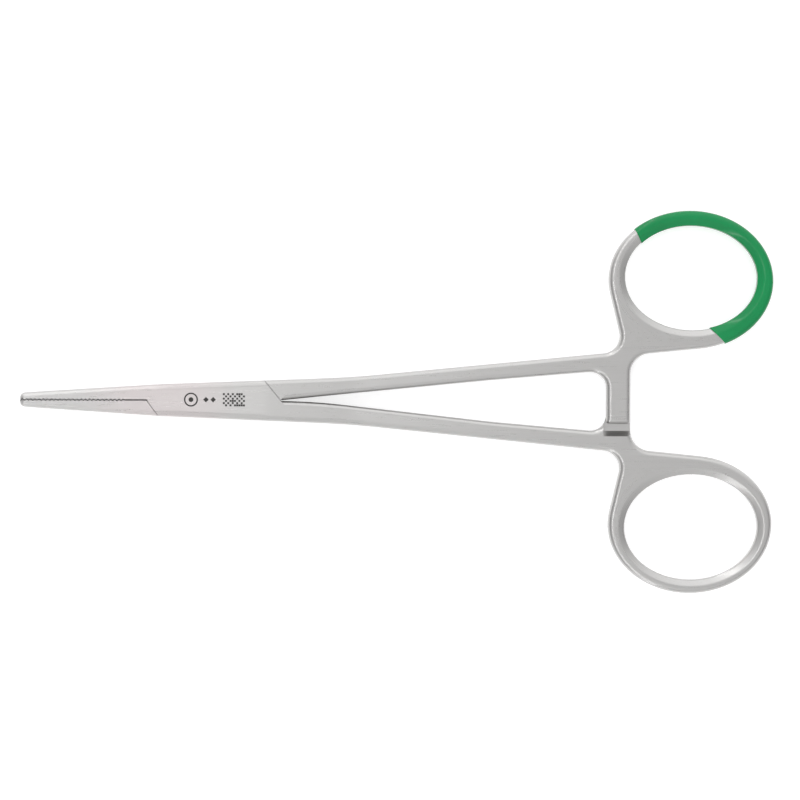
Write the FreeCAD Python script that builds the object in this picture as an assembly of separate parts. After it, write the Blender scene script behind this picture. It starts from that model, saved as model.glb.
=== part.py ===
"""Slim straight hemostat forceps with a box lock, closed, lying on its side.

Two forged steel halves cross in a box lock. The box half carries the upper jaw, the slotted
box and the lower shank and ring. The tongue half carries the lower jaw, a thin tongue that
passes through the slot, and the upper shank and ring. A pin riveted flush in the cheeks of the
box runs through the tongue. The upper ring has a dipped coating round most of its wire.

Frame, in millimetres: the pin stands along +Z at X = 0, Y = 0, the rings lie at +X, the jaws
at -X, and Z = 0 is the lower face of the box. Each half is drawn about its own middle plane
with its shank on the +Y side and its jaw on the -Y side, and the box half is then turned over.
"""
import FreeCAD, Part
import math
import os

V = FreeCAD.Vector
Z_AXIS = V(0, 0, 1)
X_AXIS = V(1, 0, 0)

# Box lock
BOX_THICKNESS = 4.0            # across both cheeks
TONGUE_THICKNESS = 1.7         # the blade of the tongue half inside the slot
BOX_HALF_WIDTH = 3.0           # square to the edge of the box, at the pin
BOX_EDGE_SLOPE = 0.040         # the box widens towards the rings
FRONT_SHOULDER = 11.1          # pin to the shoulder, along the parting line
REAR_SHOULDER = 11.1
FRONT_SHOULDER_LEAN = 2.0      # how far a shoulder leans back at the outer edge
REAR_SHOULDER_LEAN = 2.8
OPENING_ANGLE = 60.0           # between the halves, where the tongue meets its stop
STOP_CLEARANCE = 0.10          # left at the stop, and round the hub of the tongue
SLOT_CLEARANCE = 0.05          # each face of the tongue
PARTING_GAP = 0.12             # between the halves along the jaw line when closed
SHOULDER_GAP = 0.12            # between a shoulder and the edge of the cheeks
BEVEL_WIDTH = 0.9              # of the bevel along the edges of the box
BEVEL_SLOPE = 0.3              # its fall, as a share of its width
BEVEL_JAW_END = 23.0           # pin to where the bevel runs out on a jaw
BEVEL_SHANK_END = 24.0         # and on a shank, below whose face it lies by then

# Pivot pin
PIN_DIAMETER = 1.9
PIN_CLEARANCE = 0.03           # radial, in the hole of the tongue

# Jaws
JAW_REACH = 32.3               # pin to the tips
JAW_TIP_WIDTH = 1.15           # one jaw, across the tip
JAW_TIP_THICKNESS = 1.8
JAW_TIP_ROUNDING = 0.9
JAW_KNEE_RADIUS = 80.0         # where the edge of the jaw runs into the box
SERRATION_LENGTH = 17.8        # from the tips
SERRATION_PITCH = 0.7
SERRATION_DEPTH = 0.24

# Shanks
SHANK_THICKNESS = 3.0
SHANK_OUTER_KNEE = 22.5        # pin to where the outer edge turns outwards
SHANK_OUTER_SLOPE = 0.099
SHANK_KNEE_RADIUS = 150.0
SHANK_MID = 46.0               # pin to the slimmest place
TONGUE_SHANK_WIDTH = 2.68      # there
BOX_SHANK_WIDTH = 2.88
SHANK_INNER_SLOPE = 0.086      # beyond the slimmest place
SHANK_INNER_RADIUS = 100.0
BOX_SHANK_ROOT = 17.5          # the shank of the box half stays thick up to here
BOX_SHANK_ROOT_WIDTH = 3.5
THINNING_LENGTH = 15.0         # over which the thickness runs down from the box
SIDE_BEND_RADIUS = 60.0        # softens the bends of the side view

# Ratchet arms
RATCHET_SETBACK = 14.1         # centre of a finger opening back to the near edge of the arms
RATCHET_WIDTH = 4.0
RATCHET_OVERHANG = 3.6         # how far an arm passes the middle line
RATCHET_NEAR_RADIUS = 2.6      # hollow at the root, on the side of the jaws
RATCHET_FAR_RADIUS = 3.4       # on the side of the rings
RATCHET_TIP_RADIUS = 0.5
RATCHET_GAP = 0.10             # crest to crest
RATCHET_TEETH = 4
RATCHET_PITCH = 0.95
RATCHET_TOOTH_DEPTH = 0.42
RATCHET_TIP_LAND = 0.35        # flat left ahead of the first tooth
RELIEF_WALL = 0.2              # from the inner edge of the shank to the foot of the relief
RELIEF_RUN = 0.9               # of the slope from the foot of the relief to the face
RELIEF_SIDE_MARGIN = 0.5

# Finger rings
RING_REACH = 79.2              # pin to the centre of the opening
HOLE_LENGTH = 22.1
HOLE_HEIGHT = 17.5
RING_TILT = 1.2                # clockwise on the upper ring
WIRE_AT_END = 2.35             # towards the hand
WIRE_AT_FRONT = 2.7            # towards the jaws
WIRE_AT_SIDE = 2.2             # outer side
WIRE_AT_WEB = 3.1              # inner side, in line with the shank
WEB_DROP = 0.66                # from the outer edge of the shank to the inner edge of the web
GUSSET_ANGLE = 192.5           # on the ring's outline, where the neck leaves it
NECK_RADIUS = 2.9              # hollow between the shank and the ring

# Edges
EDGE_RADIUS = 0.85             # less than half the jaw's thickness at the tip
HOLE_BEVEL_WIDTH = 1.05        # round the finger opening, across the wire
HOLE_BEVEL_DEPTH = 0.5
HOLE_EDGE_RADIUS = 0.35        # where that bevel meets the wall of the opening

# Coating on the upper ring
COATING_THICKNESS = 0.15
COATING_START = 136.5          # on the ring's outline, degrees from +X
COATING_START_LEAN = 118.0     # outward direction of the end line
COATING_END = -66.0
COATING_END_LEAN = -45.0

# Worked out from the sizes above
HALF_BOX = BOX_THICKNESS / 2
HALF_TONGUE = TONGUE_THICKNESS / 2
HALF_SHANK = SHANK_THICKNESS / 2
HALF_GAP = PARTING_GAP / 2
EDGE_TURN = math.atan(BOX_EDGE_SLOPE)
EDGE_AT_PIN = BOX_HALF_WIDTH / math.cos(EDGE_TURN)
FAR = 200.0
MARGIN = 1.0                   # by which a cutting body runs past what it cuts


def box_edge(x):
    """Half width of the box at x, on either side of the pin."""
    return EDGE_AT_PIN + BOX_EDGE_SLOPE * x


def shank_outer(x):
    """Outer edge of the shank beyond its knee."""
    return box_edge(SHANK_OUTER_KNEE) + SHANK_OUTER_SLOPE * (x - SHANK_OUTER_KNEE)


def shank_inner(x, width):
    """Inner edge of a shank beyond its slimmest place, where it has the given width."""
    return shank_outer(SHANK_MID) - width + SHANK_INNER_SLOPE * (x - SHANK_MID)


RING_LENGTH = HOLE_LENGTH + WIRE_AT_END + WIRE_AT_FRONT
RING_HEIGHT = HOLE_HEIGHT + WIRE_AT_SIDE + WIRE_AT_WEB
WEB_EDGE = shank_outer(RING_REACH) - WEB_DROP
HOLE_CENTRE = V(RING_REACH, WEB_EDGE + WIRE_AT_WEB + HOLE_HEIGHT / 2, 0)
RING_CENTRE = HOLE_CENTRE + V((WIRE_AT_END - WIRE_AT_FRONT) / 2, (WIRE_AT_SIDE - WIRE_AT_WEB) / 2, 0)
RATCHET_REACH = RING_REACH - RATCHET_SETBACK
RATCHET_FAR_EDGE = RATCHET_REACH + RATCHET_WIDTH


def ring_point(angle):
    """Point on the outline of the ring and the direction of its tangent, anticlockwise."""
    turn = FreeCAD.Rotation(Z_AXIS, -RING_TILT)
    t = math.radians(angle)
    point = V(RING_LENGTH / 2 * math.cos(t), RING_HEIGHT / 2 * math.sin(t), 0)
    along = V(-RING_LENGTH / 2 * math.sin(t), RING_HEIGHT / 2 * math.cos(t), 0)
    return RING_CENTRE + turn.multVec(point), turn.multVec(along).normalize()


def web_angle():
    """Where on the ring's outline the tangent runs in line with the shank."""
    slope = math.atan(SHANK_OUTER_SLOPE) + math.radians(RING_TILT)
    return math.degrees(math.atan2(-math.cos(slope) / RING_LENGTH, math.sin(slope) / RING_HEIGHT))


def meet(point, along, start, end):
    """Where the line through point meets the line through start and end."""
    run = end - start
    cross = along.x * run.y - along.y * run.x
    share = ((start.x - point.x) * run.y - (start.y - point.y) * run.x) / cross
    return point + along * share


def rounded_path(corners):
    """Edges through corners of (point, radius), each corner with a radius made an arc."""
    edges = []
    last = corners[0][0]
    for (before, _), (point, radius), (after, _) in zip(corners, corners[1:], corners[2:]):
        if radius > 0:
            back = (before - point).normalize()
            ahead = (after - point).normalize()
            half = back.getAngle(ahead) / 2
            setback = radius / math.tan(half)
            middle = point + (back + ahead).normalize() * (radius / math.sin(half) - radius)
            start, end = point + back * setback, point + ahead * setback
            edges.append(Part.LineSegment(last, start).toShape())
            edges.append(Part.Arc(start, middle, end).toShape())
            last = end
        else:
            edges.append(Part.LineSegment(last, point).toShape())
            last = point
    edges.append(Part.LineSegment(last, corners[-1][0]).toShape())
    return edges


def prism(corners, low, high):
    """Upright solid over a closed outline of (point, radius) corners."""
    first = (corners[0][0] + corners[1][0]) * 0.5
    path = [(first, 0)] + corners[1:] + [corners[0], (first, 0)]
    face = Part.Face(Part.Wire(rounded_path(path)))
    face.translate(V(0, 0, low))
    return face.extrude(V(0, 0, high - low))


def oval(centre, length, height):
    """Closed ellipse edge, tilted as the rings are."""
    edge = Part.Ellipse(V(0, 0, 0), length / 2, height / 2).toShape()
    edge.rotate(V(0, 0, 0), Z_AXIS, -RING_TILT)
    edge.translate(centre)
    return edge


def jaw_line(phase):
    """Corners of one jaw's face, from the shoulder to the tip, with its cross teeth."""
    count = int(SERRATION_LENGTH / SERRATION_PITCH)
    start = -JAW_REACH + count * SERRATION_PITCH
    corners = [(V(-FRONT_SHOULDER, -HALF_GAP, 0), 0), (V(start, -HALF_GAP, 0), 0)]
    for tooth in range(count):
        x = start - tooth * SERRATION_PITCH
        for share, height in ((0.25, 0.5), (0.75, -0.5)):
            rise = phase * height * SERRATION_DEPTH - HALF_GAP
            corners.append((V(x - share * SERRATION_PITCH, rise, 0), 0))
    corners.append((V(-JAW_REACH, -HALF_GAP, 0), 0))
    return corners


def plan_outline(phase, width, inner_root):
    """Plan of a half with the whole box: shank at +Y, jaw at -Y, anticlockwise."""
    leave, direction = ring_point(GUSSET_ANGLE)
    outer_knee = V(SHANK_OUTER_KNEE, box_edge(SHANK_OUTER_KNEE), 0)
    neck = meet(leave, direction, outer_knee, V(RING_REACH, shank_outer(RING_REACH), 0))
    front_x = -FRONT_SHOULDER + FRONT_SHOULDER_LEAN
    rear_x = REAR_SHOULDER - REAR_SHOULDER_LEAN
    jaw_knee = V(front_x, -box_edge(front_x), 0)
    overhang = -RATCHET_OVERHANG
    join, _ = ring_point(web_angle())
    web_root = join - V(1, SHANK_OUTER_SLOPE, 0) * (join.x - RATCHET_FAR_EDGE)
    corners = [(leave, 0), (neck, NECK_RADIUS), (outer_knee, SHANK_KNEE_RADIUS),
               (V(front_x, box_edge(front_x), 0), 0)]
    corners += jaw_line(phase)
    corners += [(V(-JAW_REACH, -JAW_TIP_WIDTH, 0), JAW_TIP_ROUNDING),
                (jaw_knee, JAW_KNEE_RADIUS),
                (V(rear_x, -box_edge(rear_x), 0), 0),
                (V(REAR_SHOULDER, HALF_GAP, 0), 0)]
    corners += inner_root
    corners += [(V(SHANK_MID, shank_inner(SHANK_MID, width), 0), SHANK_INNER_RADIUS),
                (V(RATCHET_REACH, shank_inner(RATCHET_REACH, width), 0), RATCHET_NEAR_RADIUS),
                (V(RATCHET_REACH, overhang, 0), RATCHET_TIP_RADIUS),
                (V(RATCHET_FAR_EDGE, overhang, 0), RATCHET_TIP_RADIUS),
                (web_root, RATCHET_FAR_RADIUS),
                (join, 0)]
    ring = Part.Ellipse(V(0, 0, 0), RING_LENGTH / 2, RING_HEIGHT / 2)
    arc = ring.toShape(math.radians(web_angle()), math.radians(GUSSET_ANGLE))
    arc.rotate(V(0, 0, 0), Z_AXIS, -RING_TILT)
    arc.translate(RING_CENTRE)
    return Part.Face(Part.Wire(Part.__sortEdges__(rounded_path(corners) + [arc])))


def side_profile():
    """Side view of a half: thick at the box, thinner at the shank and at the jaw tip."""
    box_front = -FRONT_SHOULDER + FRONT_SHOULDER_LEAN
    box_rear = REAR_SHOULDER - REAR_SHOULDER_LEAN
    half_tip = JAW_TIP_THICKNESS / 2
    end = V(FAR, 0, HALF_SHANK)
    top = [(V(-JAW_REACH - MARGIN, 0, half_tip), 0), (V(box_front, 0, HALF_BOX), SIDE_BEND_RADIUS),
           (V(box_rear, 0, HALF_BOX), SIDE_BEND_RADIUS),
           (V(box_rear + THINNING_LENGTH, 0, HALF_SHANK), SIDE_BEND_RADIUS), (end, 0)]
    upper = rounded_path(top)
    flipped = [(V(p.x, 0, -p.z), r) for p, r in reversed(top)]
    lower = rounded_path(flipped)
    ends = [Part.LineSegment(end, flipped[0][0]).toShape(),
            Part.LineSegment(flipped[-1][0], top[0][0]).toShape()]
    face = Part.Face(Part.Wire(Part.__sortEdges__(upper + lower + ends)))
    face.translate(V(0, -FAR / 2, 0))
    return face.extrude(V(0, FAR, 0))


def rim(solid, is_rim):
    """Upper and lower edges of the upright walls that pass the test."""
    edges = []
    for wall in solid.Faces:
        u0, u1, v0, v1 = wall.ParameterRange
        normal = wall.normalAt((u0 + u1) / 2, (v0 + v1) / 2)
        if abs(normal.z) < 0.01 and is_rim(wall.CenterOfMass, normal):
            edges += [e for e in wall.Edges if e.BoundBox.XLength + e.BoundBox.YLength > 1e-4]
    return edges


def on_outline(middle, normal):
    """True for the walls that a hand can feel: not the jaw face nor the shoulders of the box."""
    jaw_face = middle.x < 0 and abs(middle.y) < SERRATION_DEPTH
    shoulder = abs(middle.x) < REAR_SHOULDER and abs(normal.x) > 0.4
    return not jaw_face and not shoulder


def in_hole(middle, normal):
    """True for the wall of the finger opening, which faces the middle of the opening."""
    inside = HOLE_CENTRE - middle
    return abs(inside.x) < HOLE_LENGTH / 4 and abs(inside.y) < HOLE_HEIGHT / 4


def hole_wire(inset, height):
    """Outline of the finger opening, smaller all round by inset, at a height."""
    wire = Part.Wire([oval(HOLE_CENTRE, HOLE_LENGTH - 2 * inset, HOLE_HEIGHT - 2 * inset)])
    wire.translate(V(0, 0, height))
    return wire


def finger_hole(solid, grow):
    """Cut the finger opening, smaller all round by grow, with a bevel and a rounded edge."""
    solid = solid.cut(Part.Face(hole_wire(grow, -FAR)).extrude(V(0, 0, 2 * FAR)))
    lean = math.atan(HOLE_BEVEL_DEPTH / HOLE_BEVEL_WIDTH)
    width = HOLE_BEVEL_WIDTH + grow * (1 - math.tan(lean / 2))
    depth = HOLE_BEVEL_DEPTH + grow * (1 - math.tan(math.pi / 4 - lean / 2))
    over = MARGIN * width / depth
    top = HALF_SHANK + grow
    for side in (1, -1):
        wires = [hole_wire(grow, side * (top - depth)),
                 hole_wire(grow - width - over, side * (top + MARGIN))]
        solid = solid.cut(Part.makeLoft(wires, True, True))
    return solid.makeFillet(HOLE_EDGE_RADIUS + grow, rim(solid, in_hole))


def bevel_section(x, edge, top, width, side, face):
    """Section of the body that cuts a bevel: side is the sign of Y and face that of Z."""
    outer = edge + MARGIN
    fall = BEVEL_SLOPE * (width + MARGIN)
    corners = [(edge - width, top), (outer, top - fall), (outer, top + MARGIN),
               (edge - width, top + MARGIN)]
    points = [V(x, side * y, face * z) for y, z in corners]
    return Part.makePolygon(points + points[:1])


def edge_bevels():
    """Bodies that cut the bevels along the box, which run out on the jaw and on the shank."""
    front = -FRONT_SHOULDER + FRONT_SHOULDER_LEAN
    rear = REAR_SHOULDER - REAR_SHOULDER_LEAN
    share = (BEVEL_JAW_END + front) / (JAW_REACH + front)
    jaw_edge = box_edge(front) + (JAW_TIP_WIDTH - box_edge(front)) * share
    jaw_top = HALF_BOX + (JAW_TIP_THICKNESS / 2 - HALF_BOX) * share
    jaw = [(-BEVEL_JAW_END, jaw_edge, jaw_top, 0), (front, box_edge(front), HALF_BOX, BEVEL_WIDTH),
           (rear + MARGIN, box_edge(rear + MARGIN), HALF_BOX, BEVEL_WIDTH)]
    shank = [(front - MARGIN, box_edge(front - MARGIN), HALF_BOX, BEVEL_WIDTH),
             (BEVEL_SHANK_END, box_edge(BEVEL_SHANK_END), HALF_BOX, BEVEL_WIDTH)]
    bodies = []
    for side, stations in ((-1, jaw), (1, shank)):
        for face in (1, -1):
            sections = [bevel_section(*station, side, face) for station in stations]
            bodies.append(Part.makeLoft(sections, True, True))
    return bodies


def forging(phase, width, inner_root):
    """A half before its lock and ratchet are cut, with its edges rounded."""
    blank = plan_outline(phase, width, inner_root)
    blank.translate(V(0, 0, -HALF_BOX))
    solid = blank.extrude(V(0, 0, BOX_THICKNESS)).common(side_profile())
    solid = solid.makeFillet(EDGE_RADIUS, rim(solid, on_outline))
    for body in edge_bevels():
        solid = solid.cut(body)
    return finger_hole(solid, 0)


def lengthways(corners, start, end):
    """Solid along X over a closed outline of (y, z) corners."""
    points = [V(start, y, z) for y, z in corners]
    return Part.Face(Part.makePolygon(points + points[:1])).extrude(V(end - start, 0, 0))


def cut_ratchet(half, width):
    """Thin the arm to the upper half of the thickness and cut its teeth, which face down."""
    face = RATCHET_GAP / 2
    root = shank_inner(RATCHET_REACH, width) - RELIEF_WALL
    start, end = RATCHET_REACH - RELIEF_SIDE_MARGIN, RATCHET_FAR_EDGE + RELIEF_SIDE_MARGIN
    tip = -RATCHET_OVERHANG
    below = -HALF_SHANK
    past, under = tip - MARGIN, below - MARGIN
    relief = lengthways([(past, face), (root, face), (root + RELIEF_RUN, below),
                         (root + RELIEF_RUN, under), (past, under)], start, end)
    half = half.cut(relief)
    first = tip + RATCHET_TIP_LAND
    for tooth in range(RATCHET_TEETH):
        steep = first + tooth * RATCHET_PITCH
        notch = lengthways([(steep, face - MARGIN), (steep, face + RATCHET_TOOTH_DEPTH),
                            (steep + RATCHET_PITCH, face), (steep + RATCHET_PITCH, face - MARGIN)],
                           start, end)
        half = half.cut(notch)
    return half


def shoulder_line(reach, lean, side, gap):
    """Far ends of the line of one shoulder of the box, moved outwards by gap."""
    inner = V(side * reach, 0, 0)
    outer = V(side * (reach - lean), side * box_edge(side * (reach - lean)), 0)
    along = (outer - inner).normalize()
    away = V(-along.y, along.x, 0)
    if away.x * side < 0:
        away = away * -1
    return inner + away * gap - along * FAR, inner + away * gap + along * FAR


def cheek_room():
    """Plan of the room that the cheeks take out of the tongue half."""
    rear = shoulder_line(REAR_SHOULDER, REAR_SHOULDER_LEAN, 1, SHOULDER_GAP)
    front = shoulder_line(FRONT_SHOULDER, FRONT_SHOULDER_LEAN, -1, SHOULDER_GAP)
    return [(p, 0) for p in (rear[0], rear[1], front[0], front[1])]


def upright_cylinder(radius, low, high):
    """Cylinder on the pivot axis."""
    return Part.makeCylinder(radius, high - low, V(0, 0, low), Z_AXIS)


def tongue_half():
    """Lower jaw, tongue, upper shank and upper ring, about the middle plane."""
    half = cut_ratchet(forging(1, TONGUE_SHANK_WIDTH, []), TONGUE_SHANK_WIDTH)
    for low, high in ((HALF_TONGUE, BOX_THICKNESS), (-BOX_THICKNESS, -HALF_TONGUE)):
        half = half.cut(prism(cheek_room(), low, high))
    hub = upright_cylinder(BOX_HALF_WIDTH - STOP_CLEARANCE, -BOX_THICKNESS, BOX_THICKNESS)
    for side, reach in ((-1, FRONT_SHOULDER), (1, REAR_SHOULDER)):
        past = side * (reach + MARGIN)
        corners = [V(0, side * HALF_GAP, 0), V(past, side * HALF_GAP, 0),
                   V(past, -side * FAR, 0), V(0, -side * FAR, 0)]
        room = prism([(p, 0) for p in corners], -BOX_THICKNESS, BOX_THICKNESS)
        half = half.cut(room.cut(hub))
    return half.cut(upright_cylinder(PIN_DIAMETER / 2 + PIN_CLEARANCE, -BOX_THICKNESS, BOX_THICKNESS))


def stop_corners(turn, level, far_level):
    """Where a stop face, square to turn, crosses two levels of Y."""
    distance = BOX_HALF_WIDTH + STOP_CLEARANCE
    return [V((distance - y * math.sin(turn)) / math.cos(turn), y, 0) for y in (level, far_level)]


def slot_plan():
    """Plan of the slot, with the faces that stop the tongue at the widest opening."""
    opening = math.radians(OPENING_ANGLE)
    front = stop_corners(math.pi / 2 + EDGE_TURN + opening, HALF_GAP, FAR)
    rear = stop_corners(-math.pi / 2 - EDGE_TURN + opening, -HALF_GAP, -FAR)
    past = -FRONT_SHOULDER - MARGIN
    corners = [front[0], front[1], V(FAR, FAR, 0), V(FAR, -HALF_GAP, 0),
               rear[0], rear[1], V(past, -FAR, 0), V(past, HALF_GAP, 0)]
    return [(p, 0) for p in corners]


def box_half():
    """Upper jaw, slotted box, lower shank and lower ring, about the middle plane."""
    root = V(BOX_SHANK_ROOT, box_edge(BOX_SHANK_ROOT) - BOX_SHANK_ROOT_WIDTH, 0)
    half = forging(-1, BOX_SHANK_WIDTH, [(root, SHANK_INNER_RADIUS)])
    half = cut_ratchet(half, BOX_SHANK_WIDTH)
    half.rotate(V(0, 0, 0), X_AXIS, 180)
    room = HALF_TONGUE + SLOT_CLEARANCE
    half = half.cut(prism(slot_plan(), -room, room))
    return half.cut(upright_cylinder(PIN_DIAMETER / 2, -BOX_THICKNESS, BOX_THICKNESS))


def ring_coating(tongue):
    """Dipped skin round the wire of the upper ring, between its two slanted ends."""
    grow = COATING_THICKNESS
    outer = Part.Face(Part.Wire([oval(RING_CENTRE, RING_LENGTH + 2 * grow, RING_HEIGHT + 2 * grow)]))
    outer.translate(V(0, 0, -HALF_SHANK - grow))
    skin = outer.extrude(V(0, 0, SHANK_THICKNESS + 2 * grow))
    skin = skin.makeFillet(EDGE_RADIUS + grow, rim(skin, lambda middle, normal: True))
    skin = finger_hole(skin, grow)
    ends = []
    for angle, lean in ((COATING_START, COATING_START_LEAN), (COATING_END, COATING_END_LEAN)):
        edge, _ = ring_point(angle)
        middle = edge + (HOLE_CENTRE - edge).normalize() * WIRE_AT_SIDE / 2
        away = V(math.cos(math.radians(lean)), math.sin(math.radians(lean)), 0)
        ends.append((middle - away * WIRE_AT_WEB, middle + away * WIRE_AT_WEB * 2))
    (start_in, start_out), (end_in, end_out) = ends
    corner = HOLE_CENTRE + V(RING_LENGTH, RING_HEIGHT, 0)
    corners = [end_in, end_out, V(corner.x, end_out.y, 0), corner, V(start_out.x, corner.y, 0),
               start_out, start_in]
    kept = prism([(p, 0) for p in corners], -BOX_THICKNESS, BOX_THICKNESS)
    return skin.common(kept).cut(tongue)


tongue = tongue_half()
pieces = {
    "tongue_half": tongue,
    "box_half": box_half(),
    "pivot_pin": upright_cylinder(PIN_DIAMETER / 2, -HALF_BOX, HALF_BOX),
    "ring_coating": ring_coating(tongue),
}
os.makedirs("parts", exist_ok=True)
for name, shape in pieces.items():
    shape.translate(V(0, 0, HALF_BOX))
    print(name, "valid", shape.isValid(), "solids", len(shape.Solids), "volume", round(shape.Volume, 3))
    shape.Solids[0].exportStep(f"parts/{name}.step")
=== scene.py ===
"""Slim locking forceps: the finish of each piece, the etched marks on the box, and the studio.

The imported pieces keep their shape. Each forging, the pin and the coating get a smooth-shaded copy
of their own mesh, with its ridges rounded, and a finish worked out from how the real surface is
made. The marks are thin shapes on the upper cheek of the box.
"""

import logging
import math
from dataclasses import dataclass, field
from enum import Enum
from typing import Any, Dict, List, Optional, Sequence, Tuple

import bmesh
import bpy
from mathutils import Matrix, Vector


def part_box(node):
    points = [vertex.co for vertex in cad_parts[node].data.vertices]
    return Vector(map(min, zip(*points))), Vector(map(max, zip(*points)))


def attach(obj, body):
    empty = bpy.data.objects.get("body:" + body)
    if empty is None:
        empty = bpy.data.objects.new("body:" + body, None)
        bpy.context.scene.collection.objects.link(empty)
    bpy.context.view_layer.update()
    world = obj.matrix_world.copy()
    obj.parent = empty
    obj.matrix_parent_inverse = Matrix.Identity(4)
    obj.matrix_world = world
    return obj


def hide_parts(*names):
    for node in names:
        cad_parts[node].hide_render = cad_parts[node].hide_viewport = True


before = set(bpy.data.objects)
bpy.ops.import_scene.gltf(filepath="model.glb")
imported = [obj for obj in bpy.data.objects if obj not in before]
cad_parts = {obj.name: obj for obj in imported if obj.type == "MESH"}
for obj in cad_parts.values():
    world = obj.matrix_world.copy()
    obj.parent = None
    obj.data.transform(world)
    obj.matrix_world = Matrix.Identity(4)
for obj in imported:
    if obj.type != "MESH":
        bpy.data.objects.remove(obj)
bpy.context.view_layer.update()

MM = 0.001
WELD_DISTANCE = 0.0005     # mm, between corners that are one corner
MIDDLE_HEIGHT = 2.0        # mm, of the middle plane of both halves
JAW_FACE_START = -11.0     # mm from the pin
JAW_FACE_REACH = 0.25      # mm off the middle line, with the teeth
JAW_WALL_RISE = 0.3        # most that a wall's normal may rise
PARTING_SHIFT = 0.055      # mm, what closes the gap between the jaws
EDGE_SHARE = 1.0           # of that shift, by which the edges of the jaw faces go back
CUT_DISTANCE = 1e-7        # m, within which the cut counts a corner as on its plane
BROAD_RISE = 0.85          # least rise of a normal on a broad face or a bevel
LEVEL_RISE = 0.997         # and on a level one
RIDGE_SEGMENTS = 3         # of the rounding on a ridge
LEAST_RIDGE = 13.0         # degrees. The first facet of a rounding leans less
LEAST_CREASE = 8.0         # degrees, between broad faces that stay sharp
LEAST_HEIGHT = 0.4         # mm, of a broad face's triangles. Those of a rounding are lower
NOISE_RANGE = {"From Min": 0.3, "From Max": 0.7}     # where nearly all of a noise lies
log = logging.getLogger("forceps")


def linear(code: str) -> Tuple[float, float, float, float]:
    """Turn an sRGB hex colour into linear light.

    Args:
        code: Six hex digits, such as "C7C5C4".

    Returns:
        Red, green and blue in linear light, and an alpha of 1.
    """
    shares = [int(code[i:i + 2], 16) / 255 for i in (0, 2, 4)]
    light = [s / 12.92 if s <= 0.04045 else ((s + 0.055) / 1.055) ** 2.4 for s in shares]
    return light[0], light[1], light[2], 1.0


def add_node(tree: bpy.types.NodeTree, kind: str, settings: Optional[Dict[Any, Any]] = None,
             links: Optional[Dict[Any, bpy.types.NodeSocket]] = None) -> bpy.types.Node:
    """Add a node with its settings and its links.

    Args:
        tree: The node tree that gets the node.
        kind: Blender's name of the node type.
        settings: Values by name. A name that the node has as an input goes on that socket, and
            any other is a property of the node.
        links: For each input, by name or number, the output socket that feeds it.

    Returns:
        The new node.
    """
    node = tree.nodes.new(kind)
    for name, value in (settings or {}).items():
        if isinstance(name, int) or name in node.inputs:
            node.inputs[name].default_value = value
        else:
            setattr(node, name, value)
    for name, source in (links or {}).items():
        tree.links.new(source, node.inputs[name])
    return node


def new_finish(name: str) -> Tuple[bpy.types.Material, bpy.types.NodeTree]:
    """Start a material, and hand over its empty node tree with it."""
    made = bpy.data.materials.new(name)
    made.use_nodes = True
    made.node_tree.nodes.clear()
    return made, made.node_tree


def place_in_millimetres(tree: bpy.types.NodeTree) -> bpy.types.NodeSocket:
    """Give the place on the object in millimetres."""
    place = add_node(tree, "ShaderNodeTexCoord").outputs["Object"]
    return add_node(tree, "ShaderNodeVectorMath", {"operation": "SCALE", "Scale": 1 / MM},
                    {0: place}).outputs[0]


def deselect_all() -> None:
    """Leave object mode's selection empty."""
    if bpy.context.object and bpy.context.object.mode != "OBJECT":
        bpy.ops.object.mode_set(mode="OBJECT")
    bpy.ops.object.select_all(action="DESELECT")


def activate(piece: bpy.types.Object) -> None:
    """Make one piece the only one selected, and the active one."""
    deselect_all()
    piece.select_set(True)
    bpy.context.view_layer.objects.active = piece


class Body(Enum):
    """The two rigid bodies that turn about the pin."""

    BOX_SIDE = "box_side"
    TONGUE_SIDE = "tongue_side"


class Slot(Enum):
    """The record's material slots."""

    FORGED_STEEL = "forged_steel"
    PIN_STEEL = "pin_steel"
    RING_COATING = "ring_coating"


class Grain(Enum):
    """How a steel surface was rubbed: along the shanks and round the rings, or round the pin."""

    FORGING = 1
    TURNED = 2


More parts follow.
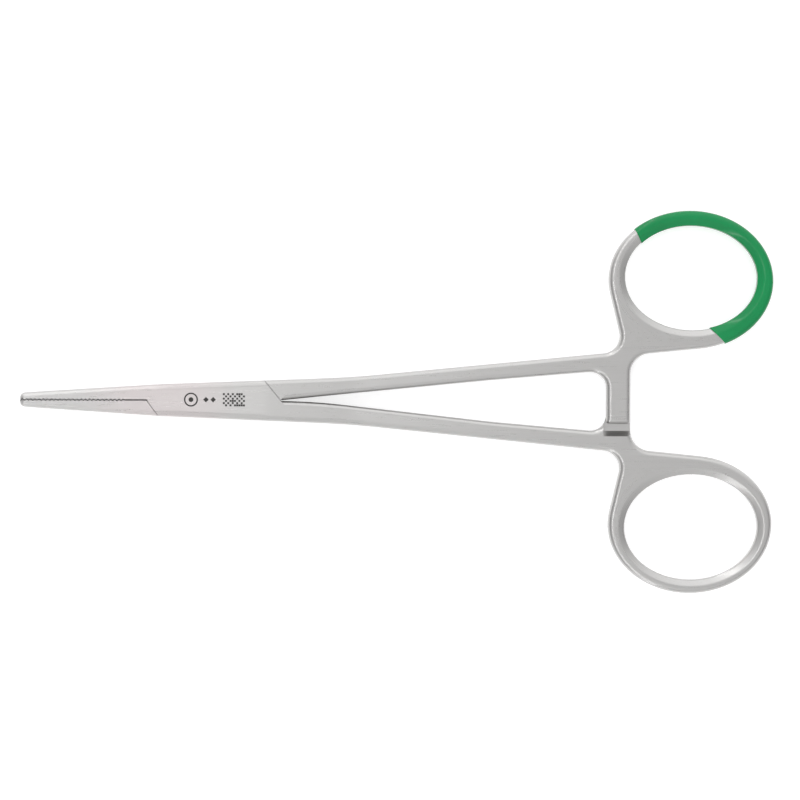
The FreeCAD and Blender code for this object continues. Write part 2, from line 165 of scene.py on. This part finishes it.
@dataclass(frozen=True)
class SatinSteel:
    """Stainless instrument steel, forged, glass-bead blasted and lightly brushed.

    The blasting gives the eye an even satin grey with no mirror image. The brushing leaves faint
    streaks that run along the shanks and round the rings.
    """

    name: str
    grain: Grain = Grain.FORGING
    colour: str = "BDBCBB"
    # pinkish tone painted round the box as a warm reflection, set by place and not by light
    painted_reflection_colour: str = "C4BEBE"
    roughness: float = 0.30
    roughness_spread: float = 0.04
    shade_spread: float = 0.02       # of the colour, lighter and darker in the streaks
    bead_share: float = 0.08         # of the beads in the pattern; the rest are streaks
    relief: float = 0.25             # share of the streaks' height that shows
    painted_reflection_place: float = -9.0         # mm along X, the middle of the stretch with a painted warm reflection
    painted_reflection_reach: Tuple[float, float] = (5.0, 13.0)       # mm off it: the painted reflection is full to here and gone by there
    streak_width: float = 0.24       # mm, coarser than the real 0.05 so that it shows
    streak_length: float = 9.0       # mm
    bead_size: float = 0.18          # mm, coarser than the real 0.06 so that it shows
    streak_height: float = 0.0005    # mm
    ring_centre: Tuple[float, float] = (79.2, 20.7)     # mm, the sign of Y is left out
    ring_half: Tuple[float, float] = (11.05, 8.75)      # mm
    ring_starts: Tuple[float, float] = (8.5, 12.0)      # mm off the middle line

    def material(self) -> bpy.types.Material:
        """Build the finish.

        Returns:
            A node material with its streaks laid out in real millimetres.
        """
        made, tree = new_finish(self.name)
        millimetres = place_in_millimetres(tree)
        along = self._along(tree, millimetres)
        streaks = add_node(tree, "ShaderNodeTexNoise",
                           {"Scale": 1.0, "Detail": 3.0, "Roughness": 0.6},
                           {"Vector": along}).outputs["Fac"]
        beads = add_node(tree, "ShaderNodeTexNoise",
                         {"Scale": 1 / self.bead_size, "Detail": 2.0},
                         {"Vector": millimetres}).outputs["Fac"]
        length = add_node(tree, "ShaderNodeSeparateXYZ", {}, {0: millimetres}).outputs["X"]
        mixed = add_node(tree, "ShaderNodeMix",
                         {"data_type": "FLOAT", "Factor": self.bead_share},
                         {2: streaks, 3: beads}).outputs[0]
        rough = add_node(tree, "ShaderNodeMapRange",
                         {**NOISE_RANGE, "To Min": self.roughness - self.roughness_spread,
                          "To Max": self.roughness + self.roughness_spread},
                         {"Value": mixed}).outputs["Result"]
        # Painted reflection: the colour turns pinkish round the box, by its distance along X from
        # one place.
        off = add_node(tree, "ShaderNodeMath", {"operation": "SUBTRACT", 1: self.painted_reflection_place},
                       {0: length}).outputs[0]
        off = add_node(tree, "ShaderNodeMath", {"operation": "ABSOLUTE"}, {0: off}).outputs[0]
        full, gone = self.painted_reflection_reach
        share = add_node(tree, "ShaderNodeMapRange", {"From Min": gone, "From Max": full},
                         {"Value": off}).outputs["Result"]
        tint_with_painted_reflection = add_node(tree, "ShaderNodeMix",
                        {"data_type": "RGBA", 6: linear(self.colour),
                         7: linear(self.painted_reflection_colour)},
                        {0: share}).outputs[2]
        shade = add_node(tree, "ShaderNodeMapRange",
                         {**NOISE_RANGE, "To Min": 1 - self.shade_spread,
                          "To Max": 1 + self.shade_spread},
                         {"Value": streaks}).outputs["Result"]
        colour = add_node(tree, "ShaderNodeVectorMath", {"operation": "MULTIPLY"},
                          {0: tint_with_painted_reflection, 1: shade}).outputs[0]
        bump = add_node(tree, "ShaderNodeBump",
                        {"Strength": self.relief, "Distance": self.streak_height * MM},
                        {"Height": mixed}).outputs["Normal"]
        surface = add_node(tree, "ShaderNodeBsdfPrincipled", {"Metallic": 1.0},
                           {"Base Color": colour, "Roughness": rough, "Normal": bump})
        add_node(tree, "ShaderNodeOutputMaterial", {}, {"Surface": surface.outputs[0]})
        return made

    def _along(self, tree: bpy.types.NodeTree,
               millimetres: bpy.types.NodeSocket) -> bpy.types.NodeSocket:
        """Stretch space along the direction in which the steel was rubbed.

        Args:
            tree: The material's node tree.
            millimetres: The place on the object, in millimetres.

        Returns:
            A vector in which one unit is one streak's length or width.
        """
        if self.grain is Grain.TURNED:
            return self._round(tree, millimetres, (0.0, 0.0), (1.0, 1.0))
        stretch = (1 / self.streak_length, 1 / self.streak_width, 1 / self.streak_width)
        straight = add_node(tree, "ShaderNodeVectorMath",
                            {"operation": "MULTIPLY", 1: stretch}, {0: millimetres}).outputs[0]
        fold = add_node(tree, "ShaderNodeVectorMath", {"operation": "ABSOLUTE"},
                        {0: millimetres}).outputs[0]
        curved = self._round(tree, fold, self.ring_centre, self.ring_half)
        side = add_node(tree, "ShaderNodeSeparateXYZ", {}, {0: fold}).outputs["Y"]
        start, end = self.ring_starts
        share = add_node(tree, "ShaderNodeMapRange",
                         {"interpolation_type": "SMOOTHSTEP", "From Min": start, "From Max": end},
                         {"Value": side}).outputs["Result"]
        return add_node(tree, "ShaderNodeMix", {"data_type": "VECTOR"},
                        {0: share, 4: straight, 5: curved}).outputs[1]

    def _round(self, tree: bpy.types.NodeTree, millimetres: bpy.types.NodeSocket,
               centre: Tuple[float, float], half: Tuple[float, float]) -> bpy.types.NodeSocket:
        """Lay the streaks round an ellipse.

        Args:
            tree: The material's node tree.
            millimetres: The place on the object, in millimetres.
            centre: The ellipse's centre.
            half: The ellipse's half axes, or ones for a circle.

        Returns:
            A vector of turn, distance and height, in streaks.
        """
        shifted = add_node(tree, "ShaderNodeVectorMath",
                           {"operation": "SUBTRACT", 1: (centre[0], centre[1], 0)},
                           {0: millimetres}).outputs[0]
        even = add_node(tree, "ShaderNodeVectorMath",
                        {"operation": "DIVIDE", 1: (half[0], half[1], half[0])},
                        {0: shifted}).outputs[0]
        parts = add_node(tree, "ShaderNodeSeparateXYZ", {}, {0: even})
        turn = add_node(tree, "ShaderNodeMath", {"operation": "ARCTAN2"},
                        {0: parts.outputs["Y"], 1: parts.outputs["X"]}).outputs[0]
        flat = add_node(tree, "ShaderNodeVectorMath", {"operation": "MULTIPLY", 1: (1, 1, 0)},
                        {0: even}).outputs[0]
        away = add_node(tree, "ShaderNodeVectorMath", {"operation": "LENGTH"},
                        {0: flat}).outputs["Value"]
        joined = add_node(tree, "ShaderNodeCombineXYZ", {},
                          {0: turn, 1: away, 2: parts.outputs["Z"]}).outputs[0]
        scale = (half[0] / self.streak_length, half[0] / self.streak_width,
                 half[0] / self.streak_width)
        return add_node(tree, "ShaderNodeVectorMath", {"operation": "MULTIPLY", 1: scale},
                        {0: joined}).outputs[0]


@dataclass(frozen=True)
class DippedPolymer:
    """Glossy green polymer, dipped and cured on the ring.

    It gives the eye an even green with a clear wet highlight that runs along the wire, and a
    slight swim of the surface where it set.
    """

    name: str
    colour: str = "0B9152"
    deep_colour: str = "0A8248"
    roughness: float = 0.12
    gloss: float = 0.31              # share of a plastic's usual mirror light
    wave_size: float = 1.6           # mm, of the swim in the surface
    wave_height: float = 0.010       # mm
    relief: float = 0.5              # share of that height that shows
    cloud_size: float = 7.0          # mm, of the slow change in depth

    def material(self) -> bpy.types.Material:
        """Build the finish.

        Returns:
            A node material.
        """
        made, tree = new_finish(self.name)
        millimetres = place_in_millimetres(tree)
        waves = add_node(tree, "ShaderNodeTexNoise", {"Scale": 1 / self.wave_size, "Detail": 1.0},
                         {"Vector": millimetres}).outputs["Fac"]
        clouds = add_node(tree, "ShaderNodeTexNoise",
                          {"Scale": 1 / self.cloud_size, "Detail": 1.0},
                          {"Vector": millimetres}).outputs["Fac"]
        colour = add_node(tree, "ShaderNodeMix",
                          {"data_type": "RGBA", 6: linear(self.deep_colour),
                           7: linear(self.colour)},
                          {0: clouds}).outputs[2]
        bump = add_node(tree, "ShaderNodeBump",
                        {"Strength": self.relief, "Distance": self.wave_height * MM},
                        {"Height": waves}).outputs["Normal"]
        surface = add_node(tree, "ShaderNodeBsdfPrincipled",
                           {"Roughness": self.roughness, "Specular IOR Level": self.gloss},
                           {"Base Color": colour, "Normal": bump})
        add_node(tree, "ShaderNodeOutputMaterial", {}, {"Surface": surface.outputs[0]})
        return made


@dataclass(frozen=True)
class LaserMark:
    """Steel darkened by a marking laser: a matt grey-brown oxide, broken up by its lines."""

    name: str
    colour: str = "2B2928"
    faint_colour: str = "474544"
    roughness: float = 0.6
    metal_share: float = 0.4         # what of the steel still shines through
    line_spacing: float = 0.14       # mm, coarser than the real 0.03 so that it shows

    def material(self) -> bpy.types.Material:
        """Build the finish.

        Returns:
            A node material.
        """
        made, tree = new_finish(self.name)
        place = add_node(tree, "ShaderNodeTexCoord").outputs["Object"]
        specks = add_node(tree, "ShaderNodeTexNoise",
                          {"Scale": 1 / (self.line_spacing * MM), "Detail": 1.0},
                          {"Vector": place}).outputs["Fac"]
        colour = add_node(tree, "ShaderNodeMix",
                          {"data_type": "RGBA", 6: linear(self.colour),
                           7: linear(self.faint_colour)},
                          {0: specks}).outputs[2]
        surface = add_node(tree, "ShaderNodeBsdfPrincipled",
                           {"Roughness": self.roughness, "Metallic": self.metal_share},
                           {"Base Color": colour})
        add_node(tree, "ShaderNodeOutputMaterial", {}, {"Surface": surface.outputs[0]})
        return made


def mark_creases(piece: bpy.types.Object) -> None:
    """Keep the ridges between two broad faces of a welded, smooth-shaded piece sharp."""
    work = bmesh.new()
    work.from_mesh(piece.data)

    def is_broad(face: bmesh.types.BMFace) -> bool:
        height = 2 * face.calc_area() / max(edge.calc_length() for edge in face.edges)
        return abs(face.normal.z) > BROAD_RISE and height > LEAST_HEIGHT * MM

    for edge in work.edges:
        if len(edge.link_faces) == 2 and all(is_broad(face) for face in edge.link_faces):
            if math.degrees(edge.calc_face_angle(0.0)) > LEAST_CREASE:
                edge.smooth = False
    work.to_mesh(piece.data)
    work.free()


def soften_ridges(piece: bpy.types.Object, width: float) -> None:
    """Round the ridges between the level faces and their bevels, as a hand finish leaves them.

    Args:
        piece: The piece, welded.
        width: Width of the rounding on either side of the ridge, in mm.
    """
    work = bmesh.new()
    work.from_mesh(piece.data)
    ridges = []
    for edge in work.edges:
        rises = sorted(abs(face.normal.z) for face in edge.link_faces)
        if len(rises) == 2 and rises[0] > BROAD_RISE and rises[1] > LEVEL_RISE:
            if math.degrees(edge.calc_face_angle(0.0)) > LEAST_RIDGE:
                ridges.append(edge)
    bmesh.ops.bevel(work, geom=ridges, offset=width * MM, offset_type="OFFSET",
                    segments=RIDGE_SEGMENTS, profile=0.5, affect="EDGES", clamp_overlap=False)
    bmesh.ops.remove_doubles(work, verts=work.verts[:], dist=WELD_DISTANCE * MM)
    bmesh.ops.dissolve_degenerate(work, edges=work.edges[:], dist=WELD_DISTANCE * MM)
    work.to_mesh(piece.data)
    work.free()
    log.info("%s: %d ridge edges rounded", piece.name, len(ridges))


def meet_in_the_middle(piece: bpy.types.Object, shift: float) -> None:
    """Bring the jaw's face up to the parting line at half its height, as jaws that touch.

    Its edges go back by EDGE_SHARE of that, as edges that were softened by hand.

    Args:
        piece: The piece, welded.
        shift: How far the face comes along Y at half its height, in mm.
    """
    work = bmesh.new()
    work.from_mesh(piece.data)
    walls = [face for face in work.faces
             if abs(face.normal.z) < JAW_WALL_RISE
             and all(vert.co.x < JAW_FACE_START * MM and abs(vert.co.y) < JAW_FACE_REACH * MM
                     for vert in face.verts)]
    around = {part for face in walls for part in (face, *face.edges, *face.verts)}
    for vert in {vert for face in walls for vert in face.verts}:
        vert.co.y -= shift * EDGE_SHARE * MM
    cut = bmesh.ops.bisect_plane(work, geom=list(around), dist=CUT_DISTANCE,
                                 plane_co=(0, 0, MIDDLE_HEIGHT * MM), plane_no=(0, 0, 1))
    for part in cut["geom_cut"]:
        if isinstance(part, bmesh.types.BMVert):
            part.co.y += shift * (1 + EDGE_SHARE) * MM
    work.to_mesh(piece.data)
    work.free()


def weigh_normals(piece: bpy.types.Object) -> None:
    """Let the broad faces decide the shading, so that flats stay flat beside their roundings."""
    activate(piece)
    weighted = piece.modifiers.new("broad_faces_first", "WEIGHTED_NORMAL")
    weighted.mode = "FACE_AREA"
    weighted.weight = 100
    weighted.keep_sharp = True
    bpy.ops.object.modifier_apply(modifier=weighted.name)


def dress(node: str, name: str, body: Body, finish: bpy.types.Material,
          smooth_angle: float = 32.0, jaw_shift: float = 0.0,
          ridge_width: float = 0.14) -> None:
    """Stand a smooth-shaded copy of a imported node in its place.

    Args:
        node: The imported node's name.
        name: The new piece's name.
        body: The body that it moves with.
        finish: The material.
        smooth_angle: The widest angle, in degrees, between faces that are shaded as one.
        jaw_shift: How far the jaw's face comes along Y at half its height, in mm.
        ridge_width: Width of the rounding on either side of a ridge, in mm.
    """
    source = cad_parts[node]
    piece = bpy.data.objects.new(name, source.data.copy())
    bpy.context.scene.collection.objects.link(piece)
    activate(piece)
    bpy.ops.mesh.customdata_custom_splitnormals_clear()
    bpy.ops.object.mode_set(mode="EDIT")
    bpy.ops.mesh.select_all(action="SELECT")
    bpy.ops.mesh.remove_doubles(threshold=WELD_DISTANCE * MM)
    bpy.ops.object.mode_set(mode="OBJECT")
    if jaw_shift:
        meet_in_the_middle(piece, jaw_shift)
    soften_ridges(piece, ridge_width)
    bpy.ops.object.shade_smooth_by_angle(angle=math.radians(smooth_angle))
    mark_creases(piece)
    weigh_normals(piece)
    piece.data.materials.clear()
    piece.data.materials.append(finish)
    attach(piece, body.value)
    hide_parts(node)
    log.info("%s: %d faces, rides on %s", name, len(piece.data.polygons), body.value)


@dataclass
class EtchedMarks:
    """Plain marks on the upper cheek: a ring with a dot, two diamonds and a dot code."""

    sink: float = 0.01               # mm into the cheek
    proud: float = 0.008             # mm above it
    middle: float = 0.10             # mm, the row of marks off the middle line
    ring_place: float = -3.76        # mm from the pin
    ring_radius: float = 1.16        # mm
    ring_stroke: float = 0.24        # mm
    dot_radius: float = 0.40         # mm
    diamond_places: Tuple[float, float] = (-1.28, -0.08)    # mm
    diamond_radius: float = 0.46     # mm
    code_place: float = 3.35         # mm, the middle of the dot code
    cell: float = 0.33               # mm
    cell_pitch: float = 0.37         # mm
    code_columns: int = 10
    code_rows: int = 6
    round_corners: int = 64          # of the ring
    dot_corners: int = 32
    diamond_corners: int = 4
    parts: List[bpy.types.Object] = field(default_factory=list)

    def build(self, face_height: float, finish: bpy.types.Material) -> None:
        """Make every mark and join them into one piece, which rides with the box.

        Args:
            face_height: Height of the cheek's face, in metres.
            finish: The material.
        """
        self._ring(face_height)
        self._disc("mark_dot", self.ring_place, self.dot_radius, self.dot_corners, face_height)
        for place in self.diamond_places:
            self._disc("mark_diamond", place, self.diamond_radius, self.diamond_corners,
                       face_height)
        self._code(face_height)
        deselect_all()
        for part in self.parts:
            part.select_set(True)
        bpy.context.view_layer.objects.active = self.parts[0]
        bpy.ops.object.join()
        piece = bpy.context.object
        piece.name = "etched_marks"
        bpy.ops.object.transform_apply(location=True, rotation=True, scale=True)
        piece.data.materials.clear()
        piece.data.materials.append(finish)
        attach(piece, Body.BOX_SIDE.value)
        log.info("etched_marks: %d faces", len(piece.data.polygons))

    def _raise(self, name: str, face_height: float) -> None:
        """Give the flat shape in hand its thickness and its place in height.

        Args:
            name: The part's name.
            face_height: Height of the cheek's face, in metres.
        """
        part = bpy.context.object
        part.name = name
        bpy.ops.object.mode_set(mode="EDIT")
        bpy.ops.mesh.select_all(action="SELECT")
        bpy.ops.mesh.extrude_region_move(
            TRANSFORM_OT_translate={"value": (0, 0, (self.sink + self.proud) * MM)})
        bpy.ops.mesh.select_all(action="SELECT")
        bpy.ops.mesh.normals_make_consistent(inside=False)
        bpy.ops.object.mode_set(mode="OBJECT")
        part.location.z = face_height - self.sink * MM
        self.parts.append(part)

    def _disc(self, name: str, x: float, radius: float, corners: int, face_height: float) -> None:
        """Add a filled mark: a dot where it has many corners, a diamond where it has four."""
        deselect_all()
        bpy.ops.mesh.primitive_circle_add(vertices=corners, radius=radius * MM, fill_type="NGON",
                                          location=(x * MM, self.middle * MM, 0))
        self._raise(name, face_height)

    def _ring(self, face_height: float) -> None:
        """Add the ring's outline."""
        deselect_all()
        bpy.ops.mesh.primitive_circle_add(vertices=self.round_corners,
                                          radius=self.ring_radius * MM, fill_type="NGON",
                                          location=(self.ring_place * MM, self.middle * MM, 0))
        bpy.ops.object.mode_set(mode="EDIT")
        bpy.ops.mesh.select_all(action="SELECT")
        bpy.ops.mesh.inset(thickness=self.ring_stroke * MM)
        bpy.ops.mesh.delete(type="ONLY_FACE")
        self._raise("mark_ring", face_height)

    def _code(self, face_height: float) -> None:
        """Add the dot code: a block of small squares, of which a plain rule leaves about half."""
        for column in range(self.code_columns):
            for row in range(self.code_rows):
                if (column + row) % 2 == 0 or (3 * column * column + 5 * row) % 7 == 0:
                    x = self.code_place + (column - (self.code_columns - 1) / 2) * self.cell_pitch
                    y = self.middle - (row - (self.code_rows - 1) / 2) * self.cell_pitch
                    deselect_all()
                    bpy.ops.mesh.primitive_plane_add(size=self.cell * MM,
                                                     location=(x * MM, y * MM, 0))
                    self._raise("mark_cell", face_height)


@dataclass
class BoxSide:
    """The half with the box: upper jaw, cheeks, lower shank and ring, and the pin."""

    steel: SatinSteel = SatinSteel("bead_blasted_steel")
    pin: SatinSteel = SatinSteel("ground_pin_steel", grain=Grain.TURNED, streak_height=0.0001)
    mark: LaserMark = LaserMark("laser_darkened_steel")
    marks: EtchedMarks = field(default_factory=EtchedMarks)

    def build(self) -> None:
        """Dress the forging and the pin, and add the marks."""
        dress("box_half", "box_half_forging", Body.BOX_SIDE,
              self.steel.material(), jaw_shift=-PARTING_SHIFT)
        dress("pivot_pin", "riveted_pin", Body.BOX_SIDE, self.pin.material())
        _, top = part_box("box_half")
        self.marks.build(top.z, self.mark.material())


@dataclass
class TongueSide:
    """The half with the tongue: lower jaw, upper shank and ring, and the coating on that ring."""

    steel: SatinSteel = SatinSteel("bead_blasted_steel_tongue")
    coating: DippedPolymer = DippedPolymer("dipped_green_polymer")

    def build(self) -> None:
        """Dress the forging and the coating."""
        dress("tongue_half", "tongue_half_forging", Body.TONGUE_SIDE,
              self.steel.material(), jaw_shift=PARTING_SHIFT)
        dress("ring_coating", "dipped_coating", Body.TONGUE_SIDE,
              self.coating.material(), smooth_angle=50.0, ridge_width=0.22)


@dataclass(frozen=True)
class Lamp:
    """A soft lamp that looks straight down, and that the camera doesn't see."""

    name: str
    place: Tuple[float, float, float]    # m
    size: Tuple[float, float]            # m
    power: float                         # W

    def build(self) -> None:
        """Hang the lamp."""
        deselect_all()
        bpy.ops.object.light_add(type="AREA", location=self.place)
        lamp = bpy.context.object
        lamp.name = self.name
        lamp.data.shape = "RECTANGLE"
        lamp.data.size, lamp.data.size_y = self.size
        lamp.data.energy = self.power
        lamp.visible_camera = False


@dataclass
class Studio:
    """A white table, a soft lamp, a soft room brighter on the far side, and the camera."""

    frame_width: float = 132.96      # mm across the picture
    view_centre: Tuple[float, float, float] = (30.86, 0.18, 2.0)   # mm
    roll: float = 0.0042             # radians, as the object lies in the picture
    lens: float = 150.0              # mm on the sensor
    sensor: float = 36.0             # mm
    floor_size: float = 4.0          # m
    floor_colour: str = "D2D2D2"
    floor_glow: float = 0.62         # what brings the open floor up to white
    room_side: float = 0.34          # the room's light from the left and the right
    room_top: float = 0.48           # what is added overhead
    room_far: float = 1.05           # on the far side
    room_near: float = 0.40          # and on the near side
    strip_lean: float = 0.34         # of a long strip of light, from overhead towards the left
    strip_half: float = 0.014        # half its width, on the same measure
    strip_light: float = 5.0         # what it adds
    side_start: float = 0.2          # of the way towards either side, where its light begins
    clip: Tuple[float, float] = (0.01, 20.0)     # m, the camera's range
    lamps: Tuple[Lamp, ...] = (
        Lamp("lamp_above_the_box", (-0.02, 0.0, 0.40), (0.10, 0.05), 0.021),)

    def build(self) -> None:
        """Make the floor, the light and the camera."""
        self._floor()
        self._room()
        for lamp in self.lamps:
            lamp.build()
        self._camera()

    def _floor(self) -> None:
        """Add the table that the object lies on."""
        deselect_all()
        bpy.ops.mesh.primitive_plane_add(size=self.floor_size, location=(0, 0, 0))
        table = bpy.context.object
        table.name = "table"
        made, tree = new_finish("matt_white_table")
        ray = add_node(tree, "ShaderNodeLightPath")
        seen = add_node(tree, "ShaderNodeMath", {"operation": "ADD"},
                        {0: ray.outputs["Is Camera Ray"], 1: ray.outputs["Is Glossy Ray"]})
        seen = add_node(tree, "ShaderNodeMath", {"operation": "ADD", "use_clamp": True},
                        {0: seen.outputs[0], 1: ray.outputs["Is Transmission Ray"]})
        power = add_node(tree, "ShaderNodeMath", {"operation": "MULTIPLY", 1: self.floor_glow},
                         {0: seen.outputs[0]})
        matt = add_node(tree, "ShaderNodeBsdfDiffuse", {"Color": linear(self.floor_colour)})
        glow = add_node(tree, "ShaderNodeEmission", {}, {"Strength": power.outputs[0]})
        both = add_node(tree, "ShaderNodeAddShader", {}, {0: matt.outputs[0], 1: glow.outputs[0]})
        add_node(tree, "ShaderNodeOutputMaterial", {}, {"Surface": both.outputs[0]})
        table.data.materials.append(made)

    def _room(self) -> None:
        """Light the room softly, brighter overhead and at the sides, with a strip on the left."""
        world = bpy.data.worlds.new("soft_room")
        bpy.context.scene.world = world
        world.use_nodes = True
        tree = world.node_tree
        tree.nodes.clear()
        direction = add_node(tree, "ShaderNodeTexCoord").outputs["Generated"]
        parts = add_node(tree, "ShaderNodeSeparateXYZ", {}, {0: direction})
        level = add_node(tree, "ShaderNodeMapRange",
                         {"interpolation_type": "SMOOTHSTEP", "From Min": 0.0, "From Max": 1.0,
                          "To Min": self.room_side, "To Max": self.room_side + self.room_top},
                         {"Value": parts.outputs["Z"]}).outputs["Result"]
        for side, added in ((1.0, self.room_far), (-1.0, self.room_near)):
            share = add_node(tree, "ShaderNodeMapRange",
                             {"From Min": self.side_start * side, "From Max": side,
                              "To Min": 0.0, "To Max": added},
                             {"Value": parts.outputs["Y"]}).outputs["Result"]
            level = add_node(tree, "ShaderNodeMath", {"operation": "ADD"},
                             {0: level, 1: share}).outputs[0]
        off = add_node(tree, "ShaderNodeMath", {"operation": "ADD", 1: self.strip_lean},
                       {0: parts.outputs["X"]}).outputs[0]
        off = add_node(tree, "ShaderNodeMath", {"operation": "ABSOLUTE"}, {0: off}).outputs[0]
        strip = add_node(tree, "ShaderNodeMapRange",
                         {"From Min": 2 * self.strip_half, "From Max": self.strip_half,
                          "To Min": 0.0, "To Max": self.strip_light},
                         {"Value": off}).outputs["Result"]
        level = add_node(tree, "ShaderNodeMath", {"operation": "ADD"},
                         {0: level, 1: strip}).outputs[0]
        light = add_node(tree, "ShaderNodeBackground", {"Color": (1, 1, 1, 1)},
                         {"Strength": level})
        add_node(tree, "ShaderNodeOutputWorld", {}, {"Surface": light.outputs[0]})

    def _camera(self) -> None:
        """Stand the camera straight above the object, as the picture was taken."""
        distance = self.frame_width * MM * self.lens / self.sensor
        centre = Vector(self.view_centre) * MM
        bpy.ops.object.camera_add(location=centre + Vector((0, 0, distance)),
                                  rotation=(0, 0, self.roll))
        camera = bpy.context.object
        camera.name = "picture_camera"
        camera.data.lens = self.lens
        camera.data.sensor_width = self.sensor
        camera.data.clip_start, camera.data.clip_end = self.clip
        bpy.context.scene.camera = camera


def main() -> None:
    """Build both halves and the studio in order."""
    logging.basicConfig(level=logging.INFO, format="%(name)s: %(message)s")
    for part in (BoxSide(), TongueSide(), Studio()):
        part.build()
        log.info("%s done", type(part).__name__)
    bpy.context.scene.view_settings.view_transform = "Standard"


if __name__ == "__main__":
    main()
